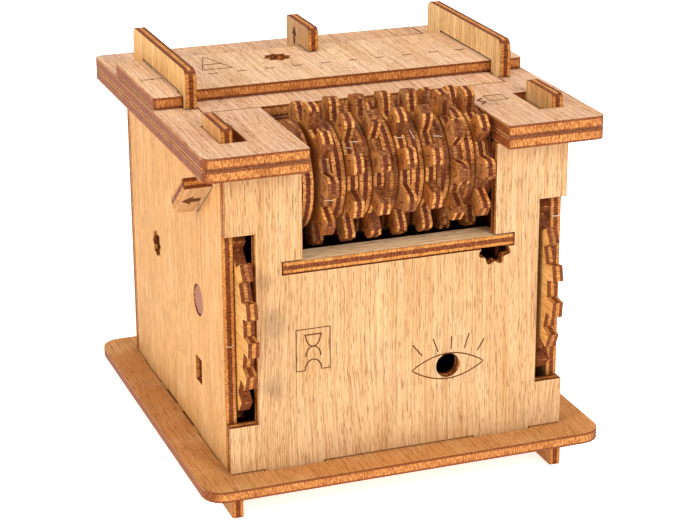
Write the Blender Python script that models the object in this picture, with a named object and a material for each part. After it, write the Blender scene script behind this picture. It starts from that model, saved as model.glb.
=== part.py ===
"""Wooden puzzle box laser-cut from plywood sheet: a square box on a base plate, with a drum of
seven toothed code wheels, two side wheels, a captive lid panel and sliding latches.

World axes: X to the right, -Y is the front, +Z up. The origin is under the middle of the feet.
"""

import math

import bmesh
import bpy
from mathutils import Vector

MM = 0.001

# ---- driving dimensions, all in metres ----
SHEET = 3.7 * MM                # thickness of every plywood sheet
SEAT = 0.3 * MM                 # gap between two sheets that touch
PLAY = 0.4 * MM                 # gap beside a piece that slides or turns

BODY = 115.0 * MM               # the square box, outside its four walls
BASE_SIZE = 137.0 * MM          # base plate, square
TOP_SIZE = 132.5 * MM           # top plate, square
BASE_CORNER = 7.0 * MM
TOP_CORNER = 3.0 * MM
FOOT_HEIGHT = 11.0 * MM         # underside of the base plate above the table
WALL_HEIGHT = 100.3 * MM        # from the base plate up to the top plate

OPENING_WIDTH = 65.0 * MM       # window in the front wall and top plate for the drum
SHELF_WIDTH = 78.0 * MM
SHELF_DEPTH = 9.8 * MM
SHELF_TOP = 84.0 * MM

NOTCH_WIDTH = 9.5 * MM          # corner notch that a side wheel shows through
NOTCH_BOTTOM = 31.0 * MM
NOTCH_TOP = 94.3 * MM

DRUM_Y = -39.7 * MM
DRUM_Z = 106.5 * MM
DRUM_PITCH = 8.7 * MM
DRUM_WHEELS = 7
DRUM_TEETH = 9
DRUM_BODY_RADIUS = 16.2 * MM
DRUM_TIP_RADIUS = 23.0 * MM
CHEEK_RADIUS = 17.2 * MM
RING = 4.3 * MM                 # a ring and the thin washer glued to it
LAST_RING = 1.9 * MM            # the last ring is thin, to end inside the window
DRUM_TOOTH_WIDTH = 6.6 * MM
DRUM_TOOTH_CHAMFER = 1.3 * MM
DRUM_TURNS = (3.0, 20.5, 20.5, 20.5, 20.5, 1.5, 3.0)   # degrees that each wheel stands turned
DRUM_AXLE_RADIUS = 4.0 * MM
RING_GATES = (330.0, 20.0, 265.0, 310.0, 285.0, 350.0, 275.0)    # degrees from the back
GATE_WIDTH = 4.4 * MM
GATE_DEPTH = 3.6 * MM

SIDE_WHEEL_Y = -25.9 * MM
SIDE_WHEEL_Z = 63.1 * MM
SIDE_WHEEL_TEETH = 20
SIDE_WHEEL_BODY_RADIUS = 35.3 * MM
SIDE_WHEEL_TIP_RADIUS = 39.8 * MM
SIDE_WHEEL_TOOTH_WIDTH = 5.4 * MM
SIDE_WHEEL_TURNS = (13.0, 11.5)    # degrees, left and right
SIDE_AXLE_RADIUS = 4.9 * MM
SPACER_RADIUS = 8.0 * MM

LATCH_LENGTH = 20.0 * MM
LATCH_RISE = 4.4 * MM           # height of a latch above the top plate
LATCH_TRAVEL = 4.2 * MM
LATCH_FRONT = -51.8 * MM        # front end of a latch

PANEL_FRONT = -4.1 * MM         # the lid panel on the rear of the top plate
PANEL_BACK = 38.6 * MM
PANEL_WIDTH = 131.4 * MM
EAR_FRONT = -9.8 * MM           # the panel's left end reaches forward beside the rail's leg
SEAM_Y = -17.6 * MM             # front edge of the hatch and back of the drum window

RAIL_FRONT = -12.7 * MM
RAIL_BACK = 51.6 * MM
RAIL_RISE = 12.9 * MM           # height of a guide rail above the top plate
RAIL_INSET = 1.0 * MM           # from the box's side to the rail's outer face
TOP_SHIFT = 0.8 * MM            # rails and latches stand this far to the right of centred
RAIL_CORNER = 3.0 * MM

KEY_FRONT = 28.5 * MM           # the upright arrow key behind the lid panel
KEY_BACK = 52.0 * MM
KEY_LEFT = 0.0 * MM
KEY_RISE = 12.4 * MM
KEY_LIFT = 9.0 * MM

BOLT_SLOPE = math.radians(-37.5)  # the side bolt leans back and down
BOLT_LENGTH = 21.8 * MM
BOLT_REACH = 9.0 * MM          # how far it stands out of the side wall
BOLT_Y = -45.5 * MM
BOLT_Z = 107.4 * MM

EYE_X = 16.6 * MM
EYE_Z = 41.6 * MM
EYE_RADIUS = 4.0 * MM
STAR_RADIUS = 4.2 * MM          # lobed key holes
STAR_DEPTH = 0.6 * MM
SHELF_STAR_RADIUS = 5.2 * MM    # the larger one, half hidden by the shelf
SHELF_STAR_DEPTH = -0.7 * MM    # its lobes stand half a step round
STAR_LOBES = 8

PARTITION_FRONT = 14.6 * MM     # wall between the mechanism and the hidden compartment

# ---- heights and places that follow from them ----
BASE_TOP = FOOT_HEIGHT + SHEET
WALL_BOTTOM = BASE_TOP + SEAT
TOP_BOTTOM = BASE_TOP + WALL_HEIGHT
WALL_TOP = TOP_BOTTOM - SEAT
TOP_MIDDLE = TOP_BOTTOM + SHEET + SEAT
TOP_TOP = TOP_MIDDLE + SHEET
PANEL_BOTTOM = TOP_TOP + SEAT
PANEL_TOP = PANEL_BOTTOM + SHEET

HALF = BODY / 2
INNER = HALF - SHEET            # inner face of a wall
HALF_TOP = TOP_SIZE / 2
HALF_OPENING = OPENING_WIDTH / 2
DRUM_LEFT = -HALF_OPENING + 6.6 * MM    # left face of the first code wheel
CHEEK_LEFT = -HALF_OPENING + 0.4 * MM
BEARING_INNER = HALF_OPENING + 2.0 * MM
BEARING_OUTER = BEARING_INNER + SHEET
PARTITION_BACK = PARTITION_FRONT + SHEET
WHEEL_OUTER = INNER - PLAY      # outer face of a side wheel
WHEEL_INNER = WHEEL_OUTER - SHEET
SHELF_BOTTOM = SHELF_TOP - SHEET
RAIL_OUTER = HALF - RAIL_INSET
RAIL_INNER = RAIL_OUTER - SHEET
RAIL_LEG_FRONT = PANEL_FRONT - 0.8 * MM
RAIL_LEG_BACK = PANEL_BACK + 0.8 * MM
LATCH_BACK = LATCH_FRONT + LATCH_LENGTH
LATCH_OUTER = HALF - 0.5 * MM
LATCH_INNER = LATCH_OUTER - SHEET
LATCH_FLANGE = 3.2 * MM
STRIP_INNER = RAIL_INNER - SEAT
TENON = 20.0 * MM

LEFT = -1
RIGHT = 1


# ---- 2D outlines ----
def fillet(corners, steps=5):
    """Outline through corners (x, y) or (x, y, radius); a radius rounds that corner with an arc."""
    outline = []
    count = len(corners)
    for i, corner in enumerate(corners):
        here = Vector(corner[:2])
        if len(corner) == 2:
            outline.append(tuple(here))
            continue
        to_last = (Vector(corners[i - 1][:2]) - here).normalized()
        to_next = (Vector(corners[(i + 1) % count][:2]) - here).normalized()
        half_angle = to_last.angle(to_next) / 2
        centre = here + (to_last + to_next).normalized() * (corner[2] / math.sin(half_angle))
        start = here + to_last * (corner[2] / math.tan(half_angle)) - centre
        sweep = start.angle_signed(here + to_next * (corner[2] / math.tan(half_angle)) - centre)
        for step in range(steps + 1):
            angle = -sweep * step / steps
            turned = Vector((start.x * math.cos(angle) - start.y * math.sin(angle),
                             start.x * math.sin(angle) + start.y * math.cos(angle)))
            outline.append(tuple(centre + turned))
    return outline


def rectangle(x0, x1, y0, y1, radius=0.0):
    corners = [(x0, y0), (x1, y0), (x1, y1), (x0, y1)]
    if radius:
        return fillet([corner + (radius,) for corner in corners])
    return corners


def circle(x, y, radius, segments=20):
    angles = [math.tau * i / segments for i in range(segments)]
    return [(x + radius * math.cos(a), y + radius * math.sin(a)) for a in angles]


def star_point(x, y, angle, size=STAR_RADIUS, depth=STAR_DEPTH):
    radius = size + depth * math.cos(STAR_LOBES * angle)
    return (x + radius * math.cos(angle), y + radius * math.sin(angle))


def star(x, y, steps=32):
    """The lobed outline of a key hole."""
    return [star_point(x, y, math.tau * i / steps) for i in range(steps)]


def star_below(x, y, steps=24):
    """The lower half of the larger key hole, from right to left."""
    return [star_point(x, y, -math.pi * i / steps, SHELF_STAR_RADIUS, SHELF_STAR_DEPTH)
            for i in range(steps + 1)]


def toothed(body, tip, count, width, chamfer, turn):
    """A disc with straight-sided teeth; turn is the first tooth's angle up from the front."""
    outline = []
    foot = math.sqrt(body * body - width * width / 4)
    half = width / 2
    tooth = [(foot, -half), (tip - chamfer, -half)]
    if chamfer:
        tooth.append((tip, chamfer - half))
    tooth += [(radial, -across) for radial, across in reversed(tooth)]
    for i in range(count):
        angle = math.pi - math.radians(turn) + math.tau * i / count
        ahead = (math.cos(angle), math.sin(angle))
        for radial, across in tooth:
            outline.append((radial * ahead[0] - across * ahead[1],
                            radial * ahead[1] + across * ahead[0]))
        middle = angle + math.pi / count
        outline.append((body * math.cos(middle), body * math.sin(middle)))
    return outline


def tenons_below(corners_left, corners_right, bottom, centres, width, depth):
    """Bottom edge from left to right at height bottom, with a tenon down at each centre."""
    edge = [(corners_left, bottom)]
    for centre in centres:
        edge += [(centre - width / 2, bottom), (centre - width / 2, bottom - depth),
                 (centre + width / 2, bottom - depth), (centre + width / 2, bottom)]
    edge.append((corners_right, bottom))
    return edge


# ---- solids ----
TURNS = {
    "XY": (0.0, 0.0, 0.0),
    "XZ": (math.pi / 2, 0.0, 0.0),              # the sheet's thickness runs to -Y
    "YZ": (math.pi / 2, 0.0, math.pi / 2),      # the sheet's thickness runs to +X
}


def material(name, colour, roughness):
    made = bpy.data.materials.get(name)
    if made is None:
        made = bpy.data.materials.new(name)
        made.use_nodes = True
        shader = made.node_tree.nodes["Principled BSDF"]
        shader.inputs["Base Color"].default_value = (*colour, 1.0)
        shader.inputs["Roughness"].default_value = roughness
        shader.inputs["Metallic"].default_value = 0.0
    return made


def sheet_mesh(name, outline, holes, thickness):
    shape = bmesh.new()
    edges = []
    for loop in [outline] + holes:
        corners = [shape.verts.new((x, y, 0.0)) for x, y in loop]
        for i, corner in enumerate(corners):
            edges.append(shape.edges.new((corners[i - 1], corner)))
    bmesh.ops.triangle_fill(shape, use_beauty=True, edges=edges)
    faces = list(shape.faces)
    raised = bmesh.ops.extrude_face_region(shape, geom=faces)["geom"]
    bmesh.ops.translate(
        shape, verts=[v for v in raised if isinstance(v, bmesh.types.BMVert)], vec=(0, 0, thickness)
    )
    bmesh.ops.recalc_face_normals(shape, faces=shape.faces)
    mesh = bpy.data.meshes.new(name)
    shape.to_mesh(mesh)
    shape.free()
    mesh.shade_smooth()
    mesh.set_sharp_from_angle(angle=math.radians(28))
    return mesh


def sheet(name, plane, at, outline, holes=(), thickness=SHEET, tone="ply"):
    """A piece cut from sheet. Its outline lies in the plane, measured from the point at."""
    tones = {
        "ply": ((0.72, 0.48, 0.26), 0.62),
        "burnt": ((0.42, 0.22, 0.10), 0.45),
        "dowel": ((0.62, 0.36, 0.20), 0.55),
    }
    mesh = sheet_mesh(name, outline, list(holes), thickness)
    mesh.materials.append(material(tone, *tones[tone]))
    made = bpy.data.objects.new(name, mesh)
    made.location = at
    made.rotation_euler = TURNS.get(plane, plane)
    bpy.context.collection.objects.link(made)
    return made


def dowel(name, x0, x1, y, z, radius, segments=24):
    """A round rod along X."""
    return sheet(name, "YZ", (x0, y, z), circle(0, 0, radius, segments), thickness=x1 - x0,
                 tone="dowel")


def side_name(stem, side):
    return stem + ("_left" if side == LEFT else "_right")


def span(side, near, far):
    """Lowest and highest X of a stretch measured out from the middle, on one side."""
    return (near, far) if side == RIGHT else (-far, -near)


# ---- base and feet ----
FRONT_TENONS = (-36.0 * MM, 36.0 * MM)
SIDE_TENONS = (-34.0 * MM, 34.0 * MM)
RUNNER_TENONS = (-10.0 * MM, 10.0 * MM)
RUNNER_TENON = 12.0 * MM


def base_plate():
    half = BASE_SIZE / 2
    holes = []
    for centre in FRONT_TENONS:
        for wall in (-HALF, INNER):
            holes.append(rectangle(centre - TENON / 2 - SEAT, centre + TENON / 2 + SEAT,
                                   wall - SEAT, wall + SHEET + SEAT))
    for side in (LEFT, RIGHT):
        x0, x1 = span(side, INNER, HALF)
        for centre in SIDE_TENONS:
            holes.append(rectangle(x0 - SEAT, x1 + SEAT, centre - TENON / 2 - SEAT,
                                   centre + TENON / 2 + SEAT))
        for centre in RUNNER_TENONS:
            holes.append(rectangle(x0 - SEAT, x1 + SEAT, centre - RUNNER_TENON / 2 - SEAT,
                                   centre + RUNNER_TENON / 2 + SEAT))
    sheet("base_plate", "XY", (0, 0, FOOT_HEIGHT), rectangle(-half, half, -half, half, BASE_CORNER),
          holes)


def foot_runners():
    reach = HALF + 1.0 * MM
    pad = 24.0 * MM
    crown = 6.5 * MM
    top = FOOT_HEIGHT - SEAT
    underside = [(-reach, 0), (-reach + pad, 0, 5 * MM), (-reach + pad + 9 * MM, crown, 9 * MM),
                 (reach - pad - 9 * MM, crown, 9 * MM), (reach - pad, 0, 5 * MM), (reach, 0)]
    topside = [(reach, top)]
    for centre in reversed(RUNNER_TENONS):
        topside += [(centre + RUNNER_TENON / 2, top), (centre + RUNNER_TENON / 2, BASE_TOP),
                    (centre - RUNNER_TENON / 2, BASE_TOP), (centre - RUNNER_TENON / 2, top)]
    topside.append((-reach, top))
    for side in (LEFT, RIGHT):
        x0 = span(side, INNER, HALF)[0]
        sheet(side_name("foot_runner", side), "YZ", (x0, 0, 0), fillet(underside) + topside)


# ---- walls ----
def front_plate():
    depth = SHEET
    slot_bottom = SHELF_BOTTOM - SEAT
    slot_top = SHELF_TOP + SEAT
    slot_half = SHELF_WIDTH / 2 + SEAT
    notch = HALF - NOTCH_WIDTH
    outline = tenons_below(-HALF, HALF, WALL_BOTTOM, FRONT_TENONS, TENON, depth)
    outline += [(HALF, NOTCH_BOTTOM), (notch, NOTCH_BOTTOM), (notch, NOTCH_TOP), (HALF, NOTCH_TOP),
                (HALF, WALL_TOP), (HALF_OPENING, WALL_TOP), (HALF_OPENING, slot_top),
                (slot_half, slot_top), (slot_half, slot_bottom)]
    outline += star_below(HALF_OPENING, slot_bottom)
    outline += [(-slot_half, slot_bottom), (-slot_half, slot_top), (-HALF_OPENING, slot_top),
                (-HALF_OPENING, WALL_TOP), (-HALF, WALL_TOP), (-HALF, NOTCH_TOP),
                (-notch, NOTCH_TOP), (-notch, NOTCH_BOTTOM), (-HALF, NOTCH_BOTTOM)]
    sheet("front_plate", "XZ", (0, -INNER, 0), outline, [circle(EYE_X, EYE_Z, EYE_RADIUS, 24)])


def back_plate():
    outline = tenons_below(-HALF, HALF, WALL_BOTTOM, FRONT_TENONS, TENON, SHEET)
    outline += [(HALF, WALL_TOP), (-HALF, WALL_TOP)]
    sheet("back_plate", "XZ", (0, HALF, 0), outline)


def bolt_slot():
    """The slanted slot in the left wall, just larger than the side bolt's section."""
    along = Vector((math.cos(BOLT_SLOPE), math.sin(BOLT_SLOPE)))
    up = Vector((-along.y, along.x))
    start = Vector((BOLT_Y, BOLT_Z))
    corners = [(-PLAY, -PLAY), (BOLT_LENGTH + PLAY, -PLAY), (BOLT_LENGTH + PLAY, SHEET + PLAY),
               (-PLAY, SHEET + PLAY)]
    return [tuple(start + along * a + up * b) for a, b in corners]


def side_plates():
    reach = INNER - SEAT
    outline = tenons_below(-reach, reach, WALL_BOTTOM, SIDE_TENONS, TENON, SHEET)
    outline += [(reach, WALL_TOP), (-reach, WALL_TOP)]
    axle_hole = circle(SIDE_WHEEL_Y, SIDE_WHEEL_Z, SIDE_AXLE_RADIUS + SEAT, 24)
    key_slot = rectangle(-27.6 * MM, -21.3 * MM, 34.0 * MM, 42.4 * MM)
    left_holes = [axle_hole, key_slot, star(23.3 * MM, 66.2 * MM), bolt_slot()]
    sheet("side_plate_left", "YZ", (-HALF, 0, 0), outline, left_holes)
    sheet("side_plate_right", "YZ", (INNER, 0, 0), outline, [axle_hole])


def shelf():
    """The ledge under the drum: wide in the front wall's slot, narrower behind it."""
    half = SHELF_WIDTH / 2
    inner = BEARING_INNER - SEAT
    back = -HALF + SHELF_DEPTH
    outline = [(-half, -HALF), (half, -HALF), (half, -INNER), (inner, -INNER), (inner, back),
               (-inner, back), (-inner, -INNER), (-half, -INNER)]
    sheet("drum_shelf", "XY", (0, 0, SHELF_BOTTOM), outline)


# ---- inner walls ----
def bearing_plates():
    outline = rectangle(-INNER + SEAT, PARTITION_FRONT - SEAT, WALL_BOTTOM, WALL_TOP)
    holes = [circle(DRUM_Y, DRUM_Z, DRUM_AXLE_RADIUS + SEAT),
             circle(SIDE_WHEEL_Y, SIDE_WHEEL_Z, SIDE_AXLE_RADIUS + SEAT, 24)]
    for side in (LEFT, RIGHT):
        x0 = span(side, BEARING_INNER, BEARING_OUTER)[0]
        sheet(side_name("bearing_plate", side), "YZ", (x0, 0, 0), outline, holes)


def partition():
    half = INNER - SEAT
    sheet("partition", "XZ", (0, PARTITION_BACK, 0), rectangle(-half, half, WALL_BOTTOM, WALL_TOP))


def detent_comb():
    """Springy fingers behind the drum, one to each code wheel's ring."""
    tip = DRUM_Y + DRUM_BODY_RADIUS + PLAY
    root = DRUM_Y + DRUM_TIP_RADIUS + 1.5 * MM
    half = BEARING_INNER - SEAT
    half_finger = 1.6 * MM
    outline = [(half, PARTITION_FRONT - SEAT), (-half, PARTITION_FRONT - SEAT), (-half, root)]
    for i in range(DRUM_WHEELS):
        x = ring_left(i) + SHEET / 2
        outline += [(x - half_finger, root), (x - half_finger, tip), (x + half_finger, tip),
                    (x + half_finger, root)]
    outline.append((half, root))
    sheet("detent_comb", "XY", (0, 0, DRUM_Z - SHEET / 2), outline)


# ---- drum ----
def wheel_left(i):
    return DRUM_LEFT + DRUM_PITCH * i


def ring_left(i):
    return wheel_left(i) + SHEET + SEAT


def code_ring(index):
    """A smooth disc with one gate in its rim."""
    radius = DRUM_BODY_RADIUS
    gate = math.radians(RING_GATES[index])
    half = GATE_WIDTH / 2 / radius
    outline = [(radius * math.cos(gate + half + (math.tau - 2 * half) * i / 32),
                radius * math.sin(gate + half + (math.tau - 2 * half) * i / 32))
               for i in range(33)]
    floor = radius - GATE_DEPTH
    outline += [(floor * math.cos(gate - half), floor * math.sin(gate - half)),
                (floor * math.cos(gate + half), floor * math.sin(gate + half))]
    return outline


def drum():
    bore = circle(0, 0, DRUM_AXLE_RADIUS + PLAY, 16)
    for i in range(DRUM_WHEELS):
        letter = "ABCDEFG"[i]
        thickness = RING if i < DRUM_WHEELS - 1 else LAST_RING
        sheet("code_ring_" + letter, "YZ", (ring_left(i), DRUM_Y, DRUM_Z), code_ring(i), [bore],
              thickness, "burnt")
        teeth = toothed(DRUM_BODY_RADIUS, DRUM_TIP_RADIUS, DRUM_TEETH, DRUM_TOOTH_WIDTH,
                        DRUM_TOOTH_CHAMFER, DRUM_TURNS[i])
        sheet("code_wheel_" + letter, "YZ", (wheel_left(i), DRUM_Y, DRUM_Z), teeth, [bore],
              tone="burnt")
    sheet("drum_cheek", "YZ", (CHEEK_LEFT, DRUM_Y, DRUM_Z),
          circle(0, 0, CHEEK_RADIUS, 32), [circle(0, 0, DRUM_AXLE_RADIUS + SEAT, 16)],
          tone="burnt")
    dowel("drum_axle", -BEARING_OUTER, BEARING_OUTER, DRUM_Y, DRUM_Z, DRUM_AXLE_RADIUS)


# ---- side wheels ----
def side_wheels():
    bore = circle(0, 0, SIDE_AXLE_RADIUS + SEAT, 24)
    for side, turn in zip((LEFT, RIGHT), SIDE_WHEEL_TURNS):
        teeth = toothed(SIDE_WHEEL_BODY_RADIUS, SIDE_WHEEL_TIP_RADIUS, SIDE_WHEEL_TEETH,
                        SIDE_WHEEL_TOOTH_WIDTH, 0.0, turn)
        x0 = span(side, WHEEL_INNER, WHEEL_OUTER)[0]
        sheet(side_name("side_wheel", side), "YZ", (x0, SIDE_WHEEL_Y, SIDE_WHEEL_Z), teeth, [bore])
        x0, x1 = span(side, BEARING_OUTER + PLAY, WHEEL_INNER - SEAT)
        sheet(side_name("wheel_spacer", side), "YZ", (x0, SIDE_WHEEL_Y, SIDE_WHEEL_Z),
              circle(0, 0, SPACER_RADIUS), [bore], thickness=x1 - x0)
        x0, x1 = span(side, BEARING_INNER, HALF - SEAT)
        dowel(side_name("wheel_axle", side), x0, x1, SIDE_WHEEL_Y, SIDE_WHEEL_Z, SIDE_AXLE_RADIUS)


# ---- top plate ----
def latch_hole(side, flange):
    x0, x1 = span(side, LATCH_INNER - LATCH_TRAVEL - SEAT, LATCH_OUTER + SEAT)
    return rectangle(x0 + TOP_SHIFT, x1 + TOP_SHIFT, LATCH_FRONT - flange - SEAT, LATCH_BACK + flange + SEAT)


def rail_legs():
    """Y ranges of a guide rail's two tenons."""
    return ((RAIL_FRONT + 1.2 * MM, RAIL_LEG_FRONT - 1.0 * MM),
            (RAIL_LEG_BACK + 2.0 * MM, RAIL_BACK - 2.0 * MM))


def rail_span(side):
    x0, x1 = span(side, RAIL_INNER, RAIL_OUTER)
    return (x0 + TOP_SHIFT, x1 + TOP_SHIFT)


KEY_STEM = (42.0 * MM, 48.0 * MM)


def stem_hole():
    return rectangle(KEY_LEFT - PLAY, KEY_LEFT + SHEET + PLAY, KEY_STEM[0] - PLAY,
                     KEY_STEM[1] + PLAY)


def top_lower():
    half = HALF_TOP
    outline = fillet([
        (-half, -half, TOP_CORNER), (-HALF_OPENING, -half, 1 * MM), (-HALF_OPENING, SEAM_Y),
        (HALF_OPENING, SEAM_Y), (HALF_OPENING, -half, 1 * MM), (half, -half, TOP_CORNER),
        (half, half, TOP_CORNER), (-half, half, TOP_CORNER)])
    holes = [stem_hole()]
    for side in (LEFT, RIGHT):
        holes.append(latch_hole(side, LATCH_FLANGE))
        x0, x1 = rail_span(side)
        for y0, y1 in rail_legs():
            holes.append(rectangle(x0 - SEAT, x1 + SEAT, y0 - SEAT, y1 + SEAT))
    sheet("top_lower", "XY", (0, 0, TOP_BOTTOM), outline, holes)


def top_arms():
    """The upper layer of the top plate to the left and right of the drum window and hatch."""
    half = HALF_TOP
    for side in (LEFT, RIGHT):
        inner = STRIP_INNER + side * TOP_SHIFT
        outer = RAIL_OUTER + SEAT + side * TOP_SHIFT
        corners = [(half, -half, TOP_CORNER), (half, half, TOP_CORNER), (inner, half)]
        for y0, y1 in reversed(rail_legs()):
            corners += [(inner, y1 + SEAT), (outer, y1 + SEAT), (outer, y0 - SEAT),
                        (inner, y0 - SEAT)]
        corners += [(inner, SEAM_Y), (HALF_OPENING, SEAM_Y), (HALF_OPENING, -half, 1 * MM)]
        turned = [(side * corner[0],) + corner[1:] for corner in corners]
        sheet(side_name("top_arm", side), "XY", (0, 0, TOP_MIDDLE), fillet(turned),
              [latch_hole(side, 0.0)])


def top_hatch():
    half = STRIP_INNER - SEAT
    sheet("top_hatch", "XY", (0, 0, TOP_MIDDLE),
          rectangle(TOP_SHIFT - half, TOP_SHIFT + half, SEAM_Y + SEAT, HALF_TOP), [stem_hole()])


def lid_panel():
    half = PANEL_WIDTH / 2
    ear = TOP_SHIFT - RAIL_OUTER - PLAY
    corner = 2.0 * MM
    outline = fillet([
        (-half, EAR_FRONT, corner), (ear, EAR_FRONT), (ear, PANEL_FRONT),
        (half, PANEL_FRONT, corner), (half, PANEL_BACK, corner), (-half, PANEL_BACK, corner)])
    sheet("lid_panel", "XY", (0, 0, PANEL_BOTTOM), outline, [star(-12.0 * MM, 26.5 * MM)])


def guide_rails():
    """Upright rails that bridge over the lid panel, with a leg in front of it and one behind."""
    top = TOP_TOP + RAIL_RISE
    foot = TOP_TOP + SEAT
    bridge = PANEL_TOP + PLAY
    low = TOP_BOTTOM + SEAT
    front, back = rail_legs()
    outline = fillet([
        (RAIL_FRONT, foot), (front[0], foot), (front[0], low), (front[1], low), (front[1], foot),
        (RAIL_LEG_FRONT, foot), (RAIL_LEG_FRONT, bridge), (RAIL_LEG_BACK, bridge),
        (RAIL_LEG_BACK, foot), (back[0], foot), (back[0], low), (back[1], low), (back[1], foot),
        (RAIL_BACK, foot), (RAIL_BACK, top, RAIL_CORNER), (RAIL_FRONT, top, RAIL_CORNER)])
    for side in (LEFT, RIGHT):
        x0 = rail_span(side)[0]
        sheet(side_name("guide_rail", side), "YZ", (x0, 0, 0), outline)


def arrow_key():
    """Stands over the panel's back edge, with a stem down through the top plate."""
    origin_y = sum(KEY_STEM) / 2
    foot = TOP_TOP + SEAT
    bridge = PANEL_TOP + PLAY
    step = PANEL_BACK + 0.5 * MM
    top = TOP_TOP + KEY_RISE
    low = TOP_BOTTOM - KEY_LIFT - SHEET
    corners = [(KEY_STEM[0], foot), (KEY_STEM[0], low), (KEY_STEM[1], low), (KEY_STEM[1], foot),
               (KEY_BACK, foot), (KEY_BACK, top, 1.5 * MM), (KEY_FRONT, top, 2.0 * MM),
               (KEY_FRONT, bridge), (step, bridge), (step, foot)]
    outline = fillet([(corner[0] - origin_y, corner[1] - foot) + corner[2:] for corner in corners])
    sheet("arrow_key", "YZ", (KEY_LEFT, origin_y, foot), outline)
    half = SHEET / 2 + SEAT
    reach = KEY_STEM[1] - origin_y + SEAT
    sheet("key_collar", "XY", (KEY_LEFT + SHEET / 2, origin_y, low), rectangle(-9 * MM, 9 * MM, -7 * MM, 7 * MM),
          [rectangle(-half, half, -reach, reach)])


# ---- latches and side bolt ----
def latches():
    """Each latch is an upside-down T: its flange is held under the top plate's upper layer."""
    middle = (LATCH_FRONT + LATCH_BACK) / 2
    half = LATCH_LENGTH / 2
    flange = half + LATCH_FLANGE
    shoulder = SHEET - 2 * SEAT
    top = TOP_TOP + LATCH_RISE - TOP_BOTTOM - SEAT
    outline = fillet([(-flange, 0), (flange, 0), (flange, shoulder), (half, shoulder),
                      (half, top, 1.5 * MM), (-half, top, 1.5 * MM), (-half, shoulder),
                      (-flange, shoulder)])
    rest_back = LATCH_BACK + LATCH_FLANGE + 2.0 * MM
    for side in (LEFT, RIGHT):
        x0 = span(side, LATCH_INNER, LATCH_OUTER)[0] + TOP_SHIFT
        sheet(side_name("latch", side), "YZ", (x0, middle, TOP_BOTTOM + SEAT), outline)
        x0, x1 = span(side, 44.5 * MM, INNER - SEAT)
        sheet(side_name("latch_rest", side), "XY", (0, 0, WALL_TOP - SHEET),
              rectangle(x0, x1, -INNER + SEAT, rest_back))


def side_bolt():
    """Head outside the left wall, a narrow neck inside and a cross bar that stops it pulling out."""
    neck = (1.0 * MM, 7.0 * MM)
    bar = (17.5 * MM, 0.6 * MM, 15.0 * MM)
    head_inner = SHEET
    bar_x = 14.0 * MM
    outline = fillet([
        (-BOLT_REACH, 0.0, 1.2 * MM), (head_inner, 0.0), (head_inner, neck[0]),
        (bar_x, neck[0]), (bar_x, bar[1]), (bar[0], bar[1]), (bar[0], bar[2]), (bar_x, bar[2]),
        (bar_x, neck[1]), (head_inner, neck[1]), (head_inner, BOLT_LENGTH),
        (-BOLT_REACH + 1.5 * MM, BOLT_LENGTH, 1.0 * MM), (-BOLT_REACH, BOLT_LENGTH - 5 * MM, 2 * MM)])
    sheet("side_bolt", (BOLT_SLOPE, 0.0, 0.0), (-HALF, BOLT_Y, BOLT_Z), outline)


def clear_scene():
    for old in list(bpy.data.objects):
        bpy.data.objects.remove(old, do_unlink=True)


clear_scene()
base_plate()
foot_runners()
front_plate()
back_plate()
side_plates()
shelf()
bearing_plates()
partition()
detent_comb()
drum()
side_wheels()
top_lower()
top_arms()
top_hatch()
lid_panel()
guide_rails()
arrow_key()
latches()
side_bolt()
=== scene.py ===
"""Laser-cut plywood puzzle box: finishes, engraved marks, floor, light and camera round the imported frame.

Lengths are in millimetres unless a name says otherwise.
"""

import math

import bpy
from mathutils import Matrix, Vector


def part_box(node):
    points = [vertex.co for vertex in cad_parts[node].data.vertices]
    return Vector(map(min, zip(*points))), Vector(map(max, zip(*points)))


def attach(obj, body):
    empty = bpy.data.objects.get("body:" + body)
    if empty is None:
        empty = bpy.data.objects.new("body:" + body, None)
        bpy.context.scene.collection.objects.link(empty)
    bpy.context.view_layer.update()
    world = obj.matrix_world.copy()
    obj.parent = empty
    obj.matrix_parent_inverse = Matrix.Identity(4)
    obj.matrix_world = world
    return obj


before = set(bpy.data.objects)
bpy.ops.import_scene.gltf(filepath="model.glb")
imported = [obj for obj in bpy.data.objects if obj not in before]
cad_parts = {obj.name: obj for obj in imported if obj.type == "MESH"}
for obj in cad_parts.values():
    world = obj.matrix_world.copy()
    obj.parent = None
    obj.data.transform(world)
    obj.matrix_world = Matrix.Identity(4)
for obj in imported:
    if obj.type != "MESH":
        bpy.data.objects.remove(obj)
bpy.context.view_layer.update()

MM = 0.001
X = Vector((1, 0, 0))
Y = Vector((0, 1, 0))
Z = Vector((0, 0, 1))


def low_corner(node):
    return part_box(node)[0] / MM


def high_corner(node):
    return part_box(node)[1] / MM


def middle_of(node):
    return (low_corner(node) + high_corner(node)) / 2


SHEET = 3.7                                     # thickness of the plywood
FRONT = low_corner("front_plate").y             # outer face of the front wall
LEFT = low_corner("side_plate_left").x          # outer face of the left wall
TOP = high_corner("top_arm_left").z             # top face of the box
PANEL_TOP = high_corner("lid_panel").z          # top face of the sliding panel


# ---- finishes ----
def paint(code):
    """Linear colour from an sRGB hex value."""
    parts = [int(code[i:i + 2], 16) / 255 for i in (1, 3, 5)]
    return [c / 12.92 if c <= 0.04045 else ((c + 0.055) / 1.055) ** 2.4 for c in parts] + [1.0]


def add(tree, kind, inputs=(), output=0, **settings):
    """Adds a node with its settings, feeds its inputs with values or other outputs, and gives an output.

    A Mix node's inputs are 0 for the amount, 2 and 3 for numbers, 6 and 7 for colours, and its colour
    comes out at 2.
    """
    node = tree.nodes.new("ShaderNode" + kind)
    for name, value in settings.items():
        setattr(node, name, value)
    for key, value in dict(inputs).items():
        if isinstance(value, bpy.types.NodeSocket):
            tree.links.new(value, node.inputs[key])
        else:
            node.inputs[key].default_value = value
    return node.outputs[output]


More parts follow.
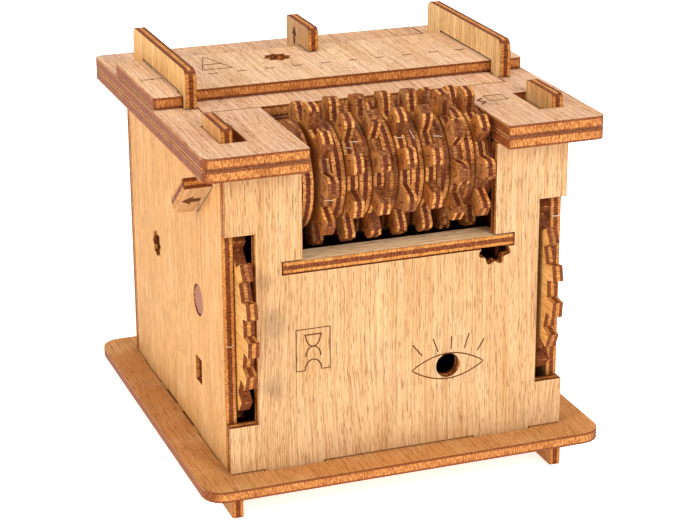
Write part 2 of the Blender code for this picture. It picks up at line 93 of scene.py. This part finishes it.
def coat(tree, under, over, where, low, high, before=0.0, after=1.0):
    """Lays one colour over another: so much of it where a pattern is below the low mark, and so much
    where it is above the high mark."""
    amount = add(tree, "MapRange", {"Value": where, "From Min": low, "From Max": high,
                                    "To Min": before, "To Max": after}, interpolation_type="SMOOTHSTEP")
    return add(tree, "Mix", {0: amount, 6: under, 7: over}, 2, data_type="RGBA")


WOOD_IOR = 1.5
WOOD_GLOSS = 0.1       # bare wood scatters nearly all its light, far less shiny than the usual 0.5


def new_finish(name, roughness):
    finish = bpy.data.materials.new(name)
    finish.use_nodes = True
    tree = finish.node_tree
    shader = tree.nodes["Principled BSDF"]
    shader.inputs["Roughness"].default_value = roughness
    shader.inputs["IOR"].default_value = WOOD_IOR
    shader.inputs["Specular IOR Level"].default_value = WOOD_GLOSS
    return finish, tree, shader


# figures in the veneer: length and width, detail, roughness, and a shift that sets one apart from another
GRAIN = {"bend": (80.0, 40.0, 1.0, 0.5, 3.0), "streaks": (48.0, 0.5, 3.0, 0.6, 0.0),
         "pores": (4.2, 0.29, 1.0, 0.5, 11.0), "bands": (60.0, 13.0, 2.0, 0.5, 5.0)}
BEND = 6.0             # how far the grain wanders sideways
CLOUDS = 0.06          # pale clouds for each millimetre, so each is about 17 mm across
VENEER_COATS = (("cloud", 0.42, 0.75, 0.4, "#e6bd88"), ("bands", 0.38, 0.7, 0.35, "#bf8a4b"),
                ("streaks", 0.44, 0.60, 0.5, "#a96f38"), ("pores", 0.56, 0.68, 0.62, "#7a4720"))


def veneer_face(tree, place, face):
    """Rotary-cut birch veneer: pale clouds, soft bands, fine streaks and short dark pores."""
    grain = {"cloud": add(tree, "TexNoise", {"Vector": place, "Scale": CLOUDS, "Detail": 2.0})}
    board = place
    for figure, (length, width, detail, rough, shift) in GRAIN.items():
        stretched = add(tree, "VectorMath",
                        {0: board, 1: (1 / length, 1 / width, 1 / width), 2: (shift, 0.0, 0.0)},
                        operation="MULTIPLY_ADD")
        grain[figure] = add(tree, "TexNoise", {"Vector": stretched, "Scale": 1.0, "Detail": detail,
                                               "Roughness": rough})
        if figure == "bend":
            sideways = add(tree, "Math", {0: grain["bend"], 1: BEND, 2: -BEND / 2},
                           operation="MULTIPLY_ADD")
            aside = add(tree, "CombineXYZ", {1: sideways})
            board = add(tree, "VectorMath", {0: place, 1: aside}, operation="ADD")
    veneer = paint(face)
    for figure, low, high, most, colour in VENEER_COATS:
        veneer = coat(tree, veneer, paint(colour), grain[figure], low, high, 0.0, most)
    return veneer, grain["streaks"], grain["pores"]


PLY_BLUR = 0.06        # half the width over which one ply turns into the next


def charred_edge(tree, depth, facing, grit, blotch, core, cut, layered):
    """Laser-cut edge: a ply cut along its grain goes orange, a ply cut across it goes dark red-brown, and
    the glue lines between the plies are nearly black. `layered` keeps the middle ply the dark one."""
    charred_along, bright_along, charred_across, bright_across = [paint(code) for code in cut]
    in_core = add(tree, "MapRange", {"Value": depth, "From Min": core - PLY_BLUR,
                                     "From Max": core + PLY_BLUR, "To Min": 1.0, "To Max": 0.0},
                  interpolation_type="SMOOTHSTEP")
    end_outer = add(tree, "Math", {0: facing[0]}, operation="ABSOLUTE")
    end_core = add(tree, "Math", {0: facing[1]}, operation="ABSOLUTE")
    end_grain = add(tree, "Mix", {0: in_core, 2: end_outer, 3: end_core})
    if layered:
        end_grain = add(tree, "Mix", {0: layered, 2: end_grain, 3: in_core})
    along = coat(tree, charred_along, bright_along, grit, 0.34, 0.66)
    across = coat(tree, charred_across, bright_across, grit, 0.34, 0.68)
    edge = coat(tree, along, across, end_grain, 0.25, 0.7)
    edge = coat(tree, edge, paint("#7c3a12"), blotch, 0.45, 0.75, 0.0, 0.42)
    off_core = add(tree, "Math", {0: depth, 1: core}, operation="SUBTRACT")
    off_glue = add(tree, "Math", {0: off_core}, operation="ABSOLUTE")
    return coat(tree, edge, paint("#431d10"), off_glue, 0.04, 0.15, 0.55, 0.0)


GRIT = 2.6             # specks of char for each millimetre
BEAM_LINES = (1.0, 1.0, 0.3)        # draws the specks out into lines through the thickness
BLOTCH = 0.22          # patches for each millimetre, about 4.5 mm across, where the beam burnt hotter
CORNER_BURN = 0.75     # how strongly the burnt line along every cut corner shows


def plywood(name, along, through, middle, face, core, cut, layered=0.0, char_and_shade=0.0, smudges=()):
    """Three-ply birch sheet, laser cut and left bare, so it is dull all over. The sheet's own axes are
    the grain, the way across it and the thickness; a surface that faces along the thickness is veneer,
    any other is a cut edge, and the corner between them is a thin burnt line."""
    finish, tree, shader = new_finish(name, 0.6)
    to_sheet = Matrix((along, through.cross(along), through))
    turn = to_sheet.to_euler("XYZ")
    surface = add(tree, "TexCoord", output="Object")
    place = add(tree, "Mapping", {"Vector": surface, "Location": to_sheet @ middle * -1,
                                  "Rotation": turn, "Scale": (1 / MM,) * 3})
    turned = add(tree, "Mapping", {"Vector": surface.node.outputs["Normal"], "Rotation": turn},
                 vector_type="VECTOR")
    facing = add(tree, "SeparateXYZ", {0: turned}).node.outputs
    level = add(tree, "Math", {0: facing[2]}, operation="ABSOLUTE")
    flat = add(tree, "MapRange", {"Value": level, "From Min": 0.90, "From Max": 0.985},
               interpolation_type="SMOOTHSTEP")
    depth = add(tree, "Math", {0: add(tree, "SeparateXYZ", {0: place}, 2)}, operation="ABSOLUTE")
    kerf = add(tree, "Mapping", {"Vector": place, "Scale": BEAM_LINES})
    grit = add(tree, "TexNoise", {"Vector": kerf, "Scale": GRIT, "Detail": 2.0, "Roughness": 0.6})
    blotch = add(tree, "TexNoise", {"Vector": place, "Scale": BLOTCH, "Detail": 2.0})

    veneer, streaks, pores = veneer_face(tree, place, face)
    edge = charred_edge(tree, depth, facing, grit, blotch, core, cut, layered)
    wood = add(tree, "Mix", {0: flat, 6: edge, 7: veneer}, 2, data_type="RGBA")
    rising = add(tree, "MapRange", {"Value": level, "From Min": 0.25, "From Max": 0.55},
                 interpolation_type="SMOOTHSTEP")
    fading = add(tree, "MapRange", {"Value": level, "From Min": 0.90, "From Max": 0.995,
                                    "To Min": CORNER_BURN, "To Max": 0.0}, interpolation_type="SMOOTHSTEP")
    burn = add(tree, "Math", {0: rising, 1: fading}, operation="MULTIPLY")
    wood = add(tree, "Mix", {0: burn, 6: wood, 7: paint("#542408")}, 2, data_type="RGBA")
    for spot, reach in smudges:
        away = add(tree, "VectorMath", {0: surface, 1: Vector(spot) * MM}, "Value", operation="DISTANCE")
        away = add(tree, "Math", {0: away, 1: reach * MM}, operation="DIVIDE")
        ragged = add(tree, "Math", {0: blotch, 1: 0.8, 2: away}, operation="MULTIPLY_ADD")
        wood = coat(tree, wood, paint("#84694a"), ragged, 0.5, 1.45, 0.40, 0.0)
    # darkens the sheet towards a sooty brown by this amount: real laser char on the drum pieces, painted
    # shade on the inner pieces
    if char_and_shade:
        soot_and_shade_tone = coat(tree, paint("#6e4630"), paint("#311b10"), blotch, 0.35, 0.7)
        wood = add(tree, "Mix", {0: char_and_shade, 6: wood, 7: soot_and_shade_tone}, 2, data_type="RGBA", blend_type="MULTIPLY")

    dullness = add(tree, "MapRange", {"Value": flat, "To Min": 0.55, "To Max": 0.62})
    pits = add(tree, "MapRange", {"Value": pores, "From Min": 0.58, "From Max": 0.74, "To Min": 0.0,
                                  "To Max": -0.9}, interpolation_type="SMOOTHSTEP")
    relief = add(tree, "Math", {0: streaks, 1: 0.5, 2: pits}, operation="MULTIPLY_ADD")
    relief = add(tree, "Math", {0: grit, 1: 0.35, 2: relief}, operation="MULTIPLY_ADD")
    bump = add(tree, "Bump", {"Strength": 0.35, "Distance": 0.06 * MM, "Height": relief})
    for socket, source in (("Base Color", wood), ("Roughness", dullness), ("Normal", bump)):
        tree.links.new(source, shader.inputs[socket])
    return finish


def beech_dowel(middle):
    """Turned beech rod: fine lengthwise streaks, and pinkish brown end grain where it was sawn."""
    finish, tree, shader = new_finish("beech dowel, sawn", 0.5)
    surface = add(tree, "TexCoord", output="Object")
    place = add(tree, "Mapping", {"Vector": surface, "Location": middle * -1,
                                  "Scale": (0.12 / MM, 1.6 / MM, 1.6 / MM)})
    grain = add(tree, "TexNoise", {"Vector": place, "Scale": 1.0, "Detail": 3.0})
    lengthwise = add(tree, "SeparateXYZ", {0: surface.node.outputs["Normal"]})
    endwise = add(tree, "Math", {0: lengthwise}, operation="ABSOLUTE")
    sawn = add(tree, "MapRange", {"Value": endwise, "From Min": 0.7, "From Max": 0.9})
    side = add(tree, "Mix", {0: grain, 6: paint("#c08a55"), 7: paint("#8d5a34")}, 2, data_type="RGBA")
    end = add(tree, "Mix", {0: grain, 6: paint("#a56a4b"), 7: paint("#84492f")}, 2, data_type="RGBA")
    wood = add(tree, "Mix", {0: sawn, 6: side, 7: end}, 2, data_type="RGBA")
    bump = add(tree, "Bump", {"Strength": 0.3, "Distance": 0.05 * MM, "Height": grain})
    tree.links.new(wood, shader.inputs["Base Color"])
    tree.links.new(bump, shader.inputs["Normal"])
    return finish


def mottled(name, roughness, dark, light, specks):
    """One colour running into another in small specks, so many to the metre."""
    finish, tree, shader = new_finish(name, roughness)
    surface = add(tree, "TexCoord", output="Object")
    uneven = add(tree, "TexNoise", {"Vector": surface, "Scale": specks, "Detail": 2.0})
    tone = add(tree, "Mix", {0: uneven, 6: paint(dark), 7: paint(light)}, 2, data_type="RGBA")
    tree.links.new(tone, shader.inputs["Base Color"])
    return finish


# Wood charred by a weak pass of the laser: nearly black in the groove, brown where it was light, matt.
SCORCHED = mottled("laser-scorched birch", 0.7, "#3a1d0e", "#784422", 900.0)
# Strings of wood glue that dried between a wheel and its ring: milky white turning amber, half glossy.
DRIED_GLUE = mottled("dried wood glue", 0.3, "#f4ead8", "#cfae84", 700.0)


# ---- the sheets that the pieces are cut from ----
THIN_CORE = 0.68       # half the thickness of the middle ply in the wall and wheel sheets
THICK_CORE = 1.2       # the same in the base and top sheets
# colours of a cut edge: plies cut along the grain where charred and where bright, then plies cut across it
WALL_EDGE = ("#a05820", "#d7974e", "#57250e", "#8a4a26")
TOP_EDGE = ("#934c1f", "#d39150", "#6a3014", "#9a5830")
DRUM_EDGE = ("#9c4c1a", "#f0ae62", "#3f190b", "#7c3a1b")
WALL = {"face": "#cfa97d", "core": THIN_CORE, "cut": WALL_EDGE}
INSIDE_IN_PAINTED_SHADE = {**WALL, "char_and_shade": 1.0}         # inner pieces, darkened all over with painted shade for their place inside the box
UPPER = {"face": "#d2aa8c", "core": THICK_CORE, "cut": TOP_EDGE}     # a little pinker than the walls
DRUM = {"face": "#b96a2c", "core": THIN_CORE, "cut": DRUM_EDGE, "layered": 0.4, "char_and_shade": 0.08}

# grey finger marks beside the left notch: place, reach
SMUDGES = (((-46.0, FRONT, 78.0), 5.0), ((-43.0, FRONT, 64.0), 7.0), ((-42.0, FRONT, 43.0), 6.0))

BOLT_SLOPE = math.radians(-37.5)
BOLT_GRAIN = Vector((0, math.cos(BOLT_SLOPE), math.sin(BOLT_SLOPE)))
BOLT_THROUGH = Vector((0, -math.sin(BOLT_SLOPE), math.cos(BOLT_SLOPE)))
BOLT_CORNER = Vector((LEFT, -45.5, 107.4))

SHEETS = (
    # direction of the face grain, direction of the thickness, finish, pieces
    (Y, Z, {**UPPER, "face": "#c8894f"}, ("base_plate",)),
    # the feet's faces are a darker copy of the wall wood: painted shade under the base
    (Z, X, {**WALL, "face": "#9c6f45"}, ("foot_runner_left", "foot_runner_right")),
    (Z, Y, {**WALL, "smudges": SMUDGES}, ("front_plate",)),
    (Z, Y, WALL, ("back_plate",)),
    (Z, X, {**WALL, "face": "#d5a064"}, ("side_plate_left", "side_plate_right")),
    # the shelf's face is painted far lighter than the wall wood: painted light on its top, which lies in the
    # drum's shadow
    (X, Z, {**WALL, "face": "#ffe2b4"}, ("drum_shelf",)),
    (Z, Y, INSIDE_IN_PAINTED_SHADE, ("partition",)),
    (Z, X, INSIDE_IN_PAINTED_SHADE, ("bearing_plate_left", "bearing_plate_right")),
    (Y, Z, INSIDE_IN_PAINTED_SHADE, ("detent_comb", "latch_rest_left", "latch_rest_right")),
    (Y, X, INSIDE_IN_PAINTED_SHADE, ("wheel_spacer_left", "wheel_spacer_right")),
    (Y, X, {**WALL, "face": "#dea257"}, ("side_wheel_left", "side_wheel_right")),
    (Z, X, {**DRUM, "char_and_shade": 0.15}, ("drum_cheek",)),
    (Y, Z, UPPER, ("top_lower", "top_arm_left", "top_arm_right", "top_hatch")),
    (Y, Z, {**UPPER, "face": "#deb896"}, ("lid_panel",)),
    # the rails' faces are lighter copies of the wall wood, the right one the lightest: painted light on
    # their left faces
    (Z, X, {**WALL, "face": "#f2bf7c"}, ("guide_rail_left",)),
    (Z, X, {**WALL, "face": "#ffd899"}, ("guide_rail_right",)),
    (Z, X, WALL, ("arrow_key",)),
    (Y, Z, WALL, ("key_collar",)),
    # the latches' faces are a lighter copy of the wall wood: painted light on their shadowed left faces
    (Z, X, {**WALL, "face": "#ecb070"}, ("latch_left", "latch_right")),
    (BOLT_GRAIN, BOLT_THROUGH, WALL, ("side_bolt",)),
)
WHEEL_GRAINS = {"A": 20, "B": 75, "C": 130, "D": 50, "E": 100, "F": 160, "G": 35}    # degrees round the axle
RING_GRAIN_OFFSET = 55                                                      # degrees from its wheel's grain


def give_finish(node, finish):
    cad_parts[node].data.materials.clear()
    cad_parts[node].data.materials.append(finish)


def cut_from(node, along, through, sheet):
    middle = BOLT_CORNER + through * SHEET / 2 if node == "side_bolt" else middle_of(node)
    give_finish(node, plywood("birch plywood, laser cut, " + node, along, through, middle, **sheet))


def finish_pieces():
    for along, through, sheet, nodes in SHEETS:
        for node in nodes:
            cut_from(node, along, through, sheet)
    for letter, degrees in WHEEL_GRAINS.items():
        for stem, offset in (("code_wheel_", 0), ("code_ring_", RING_GRAIN_OFFSET)):
            angle = math.radians(degrees + offset)
            cut_from(stem + letter, Vector((0, math.cos(angle), math.sin(angle))), X, DRUM)
    for node in ("drum_axle", "wheel_axle_left", "wheel_axle_right"):
        give_finish(node, beech_dowel(middle_of(node)))


CORNER_WEAR = 0.22     # a real cut corner is very slightly rounded where the beam charred it


def soften_edges():
    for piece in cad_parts.values():
        weld = piece.modifiers.new("merged corners", "WELD")
        weld.merge_threshold = 0.002 * MM
        plain = piece.modifiers.new("flat faces", "DECIMATE")
        plain.decimate_type = "DISSOLVE"
        plain.angle_limit = math.radians(0.6)
        round_off = piece.modifiers.new("charred corner", "BEVEL")
        round_off.width = CORNER_WEAR * MM
        round_off.segments = 2
        round_off.limit_method = "ANGLE"
        round_off.angle_limit = math.radians(32)
        round_off.use_clamp_overlap = True
        piece.modifiers.new("even shading", "WEIGHTED_NORMAL")


# ---- engraved marks ----
LINE_RADIUS = 0.26     # half the width of an ordinary laser line
PANEL_LINE_RADIUS = 0.3
ZIGZAG_RADIUS = 0.4
SQUARE_RADIUS = 0.28
SEAM_RADIUS = 0.2
SIGN_RADIUS = 0.24
LINE_SUNK = 0.12       # how far the middle of a line lies under the face
PATCH_DEPTH = 0.1


def deselect():
    if bpy.context.mode != "OBJECT":
        bpy.ops.object.mode_set(mode="OBJECT")
    bpy.ops.object.select_all(action="DESELECT")


def draw_edges(points):
    """Pulls one corner from point to point, and leaves the chain of edges selected in edit mode."""
    deselect()
    points = [Vector(p) * MM for p in points]
    bpy.ops.mesh.primitive_plane_add(size=MM, location=points[0])
    bpy.ops.object.mode_set(mode="EDIT")
    bpy.ops.mesh.merge(type="CENTER")
    for here, there in zip(points, points[1:]):
        bpy.ops.mesh.extrude_region_move(TRANSFORM_OT_translate={"value": there - here})
    bpy.ops.mesh.select_all(action="SELECT")
    bpy.ops.mesh.remove_doubles(threshold=0.001 * MM)


def scored_path(points, radius=LINE_RADIUS):
    """A shallow burnt groove through the points."""
    draw_edges(points)
    bpy.ops.object.mode_set(mode="OBJECT")
    bpy.ops.object.convert(target="CURVE")
    path = bpy.context.object
    path.data.dimensions = "3D"
    path.data.bevel_depth = radius * MM
    path.data.bevel_resolution = 1
    path.data.use_fill_caps = True
    bpy.ops.object.convert(target="MESH")
    return bpy.context.object


def scored_patch(corners, normal):
    """A burnt-in filled shape with those corners."""
    draw_edges(corners + corners[:1])
    bpy.ops.mesh.edge_face_add()
    bpy.ops.mesh.extrude_region_move(TRANSFORM_OT_translate={"value": normal * PATCH_DEPTH * MM})
    bpy.ops.mesh.select_all(action="SELECT")
    bpy.ops.mesh.normals_make_consistent(inside=False)
    bpy.ops.object.mode_set(mode="OBJECT")
    return bpy.context.object


def joined(strokes):
    """Makes one mesh of the strokes, with its place in the mesh."""
    deselect()
    for stroke in strokes:
        stroke.select_set(True)
    bpy.context.view_layer.objects.active = strokes[0]
    if len(strokes) > 1:
        bpy.ops.object.join()
    bpy.ops.object.transform_apply(location=True, rotation=True, scale=True)
    return strokes[0]


def copied(mark, shift, turn=0.0):
    """The mark again with its own mesh, turned round the X axis and then shifted."""
    again = mark.copy()
    again.data = mark.data.copy()
    again.location = Vector(shift) * MM
    again.rotation_euler = (turn, 0, 0)
    bpy.context.scene.collection.objects.link(again)
    return again


def one_piece(name, strokes, body, finish=SCORCHED):
    """Joins the strokes of one mark and lets it ride with its sheet."""
    mark = joined(strokes)
    mark.name = name
    mark.data.name = name
    mark.data.materials.clear()
    mark.data.materials.append(finish)
    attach(mark, body)
    return mark


def on_front(points):
    return [(x, FRONT + LINE_SUNK, z) for x, z in points]


def on_top(points, height=TOP):
    return [(x, y, height - LINE_SUNK) for x, y in points]


def arc(x, z, radius_x, radius_z, start, end, steps=12):
    angles = [math.radians(start + (end - start) * i / steps) for i in range(steps + 1)]
    return [(x + radius_x * math.cos(a), z + radius_z * math.sin(a)) for a in angles]


def lens(x0, x1, z, rise, steps=16):
    """A pointed oval between two corners."""
    upper = [(x0 + (x1 - x0) * i / steps, z + rise * math.sin(math.pi * i / steps) ** 0.85)
             for i in range(steps + 1)]
    lower = [(x, 2 * z - h) for x, h in reversed(upper[1:-1])]
    return upper + lower + upper[:1]


EYE_LEFT, EYE_RIGHT, EYE_LEVEL, EYE_RISE = 4.1, 29.1, 41.4, 4.4
LASHES = (((4.3, 50.3), (7.6, 46.2)), ((11.4, 51.5), (13.1, 46.8)), ((17.9, 51.6), (17.7, 47.0)),
          ((24.0, 51.8), (22.3, 46.7)), ((29.3, 49.1), (27.0, 45.3)))
BORDER_LEFT, BORDER_RIGHT, BORDER_FOOT, BORDER_HEAD = -35.1, -23.8, 47.0, 61.0
GLASS_MIDDLE = (BORDER_LEFT + BORDER_RIGHT) / 2
GLASS_HALF = 2.5       # half the width of the hourglass
ARCH_HALF = 2.75       # half the width of the arch at the foot of its border
GLASS_HEAD = 59.0
GLASS_FOOT = 51.6


def front_marks():
    eye = [scored_path(on_front(lens(EYE_LEFT, EYE_RIGHT, EYE_LEVEL, EYE_RISE)))]
    eye += [scored_path(on_front(lash)) for lash in LASHES]
    one_piece("engraved_eye", eye, "box")
    border = [(GLASS_MIDDLE - ARCH_HALF, BORDER_FOOT), (BORDER_LEFT, BORDER_FOOT),
              (BORDER_LEFT, BORDER_HEAD), (BORDER_RIGHT, BORDER_HEAD), (BORDER_RIGHT, BORDER_FOOT)]
    border += arc(GLASS_MIDDLE, BORDER_FOOT, ARCH_HALF, 3.6, 0, 180)
    one_piece("engraved_hourglass", [
        scored_path(on_front(border)),
        scored_path(on_front([(-32.4, GLASS_HEAD), (-26.5, GLASS_HEAD)])),
        scored_path(on_front(arc(GLASS_MIDDLE, GLASS_HEAD, GLASS_HALF, 4.0, 180, 360))),
        scored_path(on_front(arc(GLASS_MIDDLE, GLASS_FOOT, GLASS_HALF, 3.4, 0, 180)))], "box")


DASHES = 10
DASH_START = -40.3
DASH_LENGTH = 3.3
DASH_PITCH = 9.83
DASH_Y = 13.2


def top_marks():
    dash = [(DASH_START, DASH_Y), (DASH_START + DASH_LENGTH, DASH_Y)]
    dash = joined([scored_path(on_top(dash, PANEL_TOP), PANEL_LINE_RADIUS)])
    marks = [dash] + [copied(dash, (DASH_PITCH * i, 0, 0)) for i in range(1, DASHES)]
    for line, radius in (([(-41.0, 18.5), (-35.7, 35.5), (-30.4, 18.5), (-41.0, 18.5)], PANEL_LINE_RADIUS),
                         ([(-38.6, 25.0), (-32.8, 25.0)], PANEL_LINE_RADIUS),
                         ([(-63.3, 13.3), (-56.4, 13.3)], LINE_RADIUS)):
        marks.append(scored_path(on_top(line, PANEL_TOP), radius))
    one_piece("engraved_panel_marks", marks, "lid")
    zigzag = [(34.6, -40.5), (36.9, -38.4), (35.0, -36.0), (37.4, -33.9)]
    square = [(39.0, -37.5), (45.2, -37.5), (45.2, -31.5), (39.0, -31.5), (39.0, -37.5)]
    one_piece("engraved_arm_marks", [scored_path(on_top(zigzag), ZIGZAG_RADIUS),
                                     scored_path(on_top(square), SQUARE_RADIUS)], "box")
    seam = [(42.5, 65.8), (42.9, 55.0), (52.4, 53.9)]
    one_piece("hatch_seam", [scored_path(on_top(seam), SEAM_RADIUS)], "box")


# arrows, from the shaft towards the point and to either side
BOLT_ARROW = [(0.2, 3.4), (0.2, 1.5), (3.0, 1.5), (3.0, -1.5), (0.2, -1.5), (0.2, -3.4), (-3.2, 0.0)]
KEY_ARROW = [(0.0, 2.3), (0.0, 0.8), (3.2, 0.8), (3.2, -0.8), (0.0, -0.8), (0.0, -2.3), (-3.0, 0.0)]
KEY_ARROW_PLACE = Vector((-0.07, 43.3, 129.6))
BOLT_ARROW_PLACE = BOLT_CORNER - X * 4.4 + BOLT_GRAIN * 11.0 - BOLT_THROUGH * 0.06


def arrows():
    up = [KEY_ARROW_PLACE - Z * a + Y * b for a, b in KEY_ARROW]
    one_piece("engraved_key_arrow", [scored_patch(up, X)], "key")
    out = [BOLT_ARROW_PLACE + X * a + BOLT_GRAIN * b for a, b in BOLT_ARROW]
    one_piece("engraved_bolt_arrow", [scored_patch(out, BOLT_THROUGH)], "bolt")


WHEELS = "ABCDEFG"
DRUM_AXIS = middle_of("drum_axle")
WHEEL_LEFTS = {letter: low_corner("code_wheel_" + letter).x for letter in WHEELS}
WHEEL_TURNS = {"A": 3.0, "B": 20.5, "C": 20.5, "D": 20.5, "E": 20.5, "F": 1.5, "G": 3.0}    # degrees
TEETH = 9
SIGN_DISTANCE = 19.8   # from the drum's axis to the middle of a sign
TOOTH_SIGNS = (
    # strokes of each sign: outwards along the tooth, and across it
    [[(-1.4, -1.5), (1.4, 0.0), (-1.4, 1.5)]],
    [[(-1.5, -1.3), (1.5, -1.3)], [(0.0, -1.3), (0.0, 1.5)]],
    [[(-1.5, -1.4), (1.5, 1.4)], [(-1.5, 1.4), (1.5, -1.4)]],
    [[(-1.4, -1.4), (1.4, -1.4), (0.0, 1.5), (-1.4, -1.4)]],
    [[(-1.4, 0.0), (1.4, 0.0)], [(0.2, -1.6), (1.4, 0.0), (0.2, 1.6)]],
)


def tooth_signs():
    """A small sign on the left face of each tooth: five signs, scored once and copied round the wheels."""
    signs = [joined([scored_path([(0, SIGN_DISTANCE + a, b) for a, b in stroke], SIGN_RADIUS)
                     for stroke in sign]) for sign in TOOTH_SIGNS]
    for wheel, letter in enumerate(WHEELS):
        copies = []
        for tooth in range(TEETH):
            angle = math.pi - math.radians(WHEEL_TURNS[letter]) + math.tau * tooth / TEETH
            place = (WHEEL_LEFTS[letter] + LINE_SUNK, DRUM_AXIS.y, DRUM_AXIS.z)
            copies.append(copied(signs[(tooth * 2 + wheel) % len(signs)], place, angle))
        one_piece("tooth_signs_" + letter, copies, "code_" + letter)
    for sign in signs:
        bpy.data.objects.remove(sign)


THREAD_DISTANCE = 16.3      # from the drum's axis
THREAD_RADIUS = 0.11
THREAD_WAVE = 0.12          # how far a thread strays in and out
NOTCH_THREAD_RADIUS = 0.12
THREAD_STEPS = 6
GLUE_THREADS = (
    # wheel, place across it from its left face, degrees round from the back, sweep in degrees, slant
    ("A", 1.2, 196, 1.5, 3.0), ("B", 0.6, 139, 2.0, 2.2), ("B", 2.8, 133, 1.0, 2.6),
    ("C", 0.8, 160, 14.0, 0.2), ("C", 0.9, 165, 0.8, 2.6), ("C", 3.4, 158, 13.0, -0.2),
    ("D", 0.5, 134, 1.0, 3.2), ("D", 5.8, 126, 12.0, 0.8), ("E", 4.2, 137, 1.6, 3.0),
    ("G", 0.9, 178, 1.0, 2.8),
)
NOTCH_THREADS = {"left": [(-56.6, -53.6, 57.2), (-55.2, -53.7, 56.9), (-54.2, -53.6, 57.5)],
                 "right": [(54.0, -53.6, 86.9), (55.6, -53.7, 86.6), (57.2, -53.6, 86.8)]}


def glue_threads():
    for i, (letter, across, start, sweep, slant) in enumerate(GLUE_THREADS):
        points = []
        for step in range(THREAD_STEPS + 1):
            angle = math.radians(start + sweep * step / THREAD_STEPS)
            distance = THREAD_DISTANCE + THREAD_WAVE * math.sin(step * 2.1)
            points.append((WHEEL_LEFTS[letter] + across + slant * step / THREAD_STEPS,
                           DRUM_AXIS.y + distance * math.cos(angle),
                           DRUM_AXIS.z + distance * math.sin(angle)))
        one_piece("glue_thread_%d" % (i + 1), [scored_path(points, THREAD_RADIUS)], "code_" + letter,
                  DRIED_GLUE)
    for side, points in NOTCH_THREADS.items():
        one_piece("glue_thread_" + side, [scored_path(points, NOTCH_THREAD_RADIUS)], "box", DRIED_GLUE)


# ---- floor, light, camera ----
SOFTBOXES = (
    # name, place in metres, power in watts
    ("front softbox", (0.45, -1.1, 0.75), 9.5),
    ("left softbox", (-1.1, -0.45, 0.75), 9.7),
    ("overhead softbox", (0.1, 0.2, 1.3), 7.3),
)
SOFTBOX_SIZE_M = 0.5
AIM_M = Vector((0, 0, 0.06))


def studio():
    """A matt white floor that glows a little, so that it stays plain white, and three softboxes."""
    deselect()
    bpy.ops.mesh.primitive_plane_add(size=6.0)
    floor = bpy.context.object
    floor.name = "floor"
    finish, tree, shader = new_finish("white matt studio floor", 0.9)
    shader.inputs["Base Color"].default_value = paint("#fbfbfb")
    shader.inputs["Emission Color"].default_value = paint("#ffffff")
    shader.inputs["Emission Strength"].default_value = 0.7
    floor.data.materials.append(finish)
    world = bpy.data.worlds.new("white room")
    bpy.context.scene.world = world
    world.use_nodes = True
    world.node_tree.nodes["Background"].inputs["Color"].default_value = (1, 1, 1, 1)
    world.node_tree.nodes["Background"].inputs["Strength"].default_value = 0.5
    for name, place, power in SOFTBOXES:
        lamp = bpy.data.lights.new(name, "AREA")
        lamp.shape = "SQUARE"
        lamp.size = SOFTBOX_SIZE_M
        lamp.energy = power
        stand = bpy.data.objects.new(name, lamp)
        stand.location = place
        stand.rotation_euler = (AIM_M - Vector(place)).to_track_quat("-Z", "Y").to_euler()
        bpy.context.scene.collection.objects.link(stand)


CAMERA_PLACE_M = (-0.23167, -0.63662, 0.30598)
CAMERA_YAW, CAMERA_PITCH, CAMERA_ROLL = 20.34, 19.92, -0.24      # degrees
CAMERA_LENS = 108.29
CAMERA_SENSOR = 36.0


def camera():
    """In front and to the left, turned 20 degrees to the right and looking down 20."""
    yaw, pitch, roll = (math.radians(v) for v in (CAMERA_YAW, CAMERA_PITCH, CAMERA_ROLL))
    around = Matrix.Rotation(yaw, 3, "Z")
    tipped = Matrix(((1, 0, 0), (0, math.cos(pitch), -math.sin(pitch)),
                     (0, math.sin(pitch), math.cos(pitch))))
    level = Matrix(((math.cos(roll), 0, math.sin(roll)), (0, 1, 0),
                    (-math.sin(roll), 0, math.cos(roll))))
    right, ahead, up = level @ tipped @ around
    optics = bpy.data.cameras.new("camera")
    optics.sensor_width = CAMERA_SENSOR
    optics.lens = CAMERA_LENS
    optics.clip_start = 0.01
    held = bpy.data.objects.new("camera", optics)
    turn = Matrix((right, up, -ahead)).transposed().to_4x4()
    held.matrix_world = Matrix.Translation(CAMERA_PLACE_M) @ turn
    bpy.context.scene.collection.objects.link(held)
    bpy.context.scene.camera = held


finish_pieces()
soften_edges()
front_marks()
top_marks()
arrows()
tooth_signs()
glue_threads()
studio()
camera()
bpy.context.scene.view_settings.view_transform = "Standard"
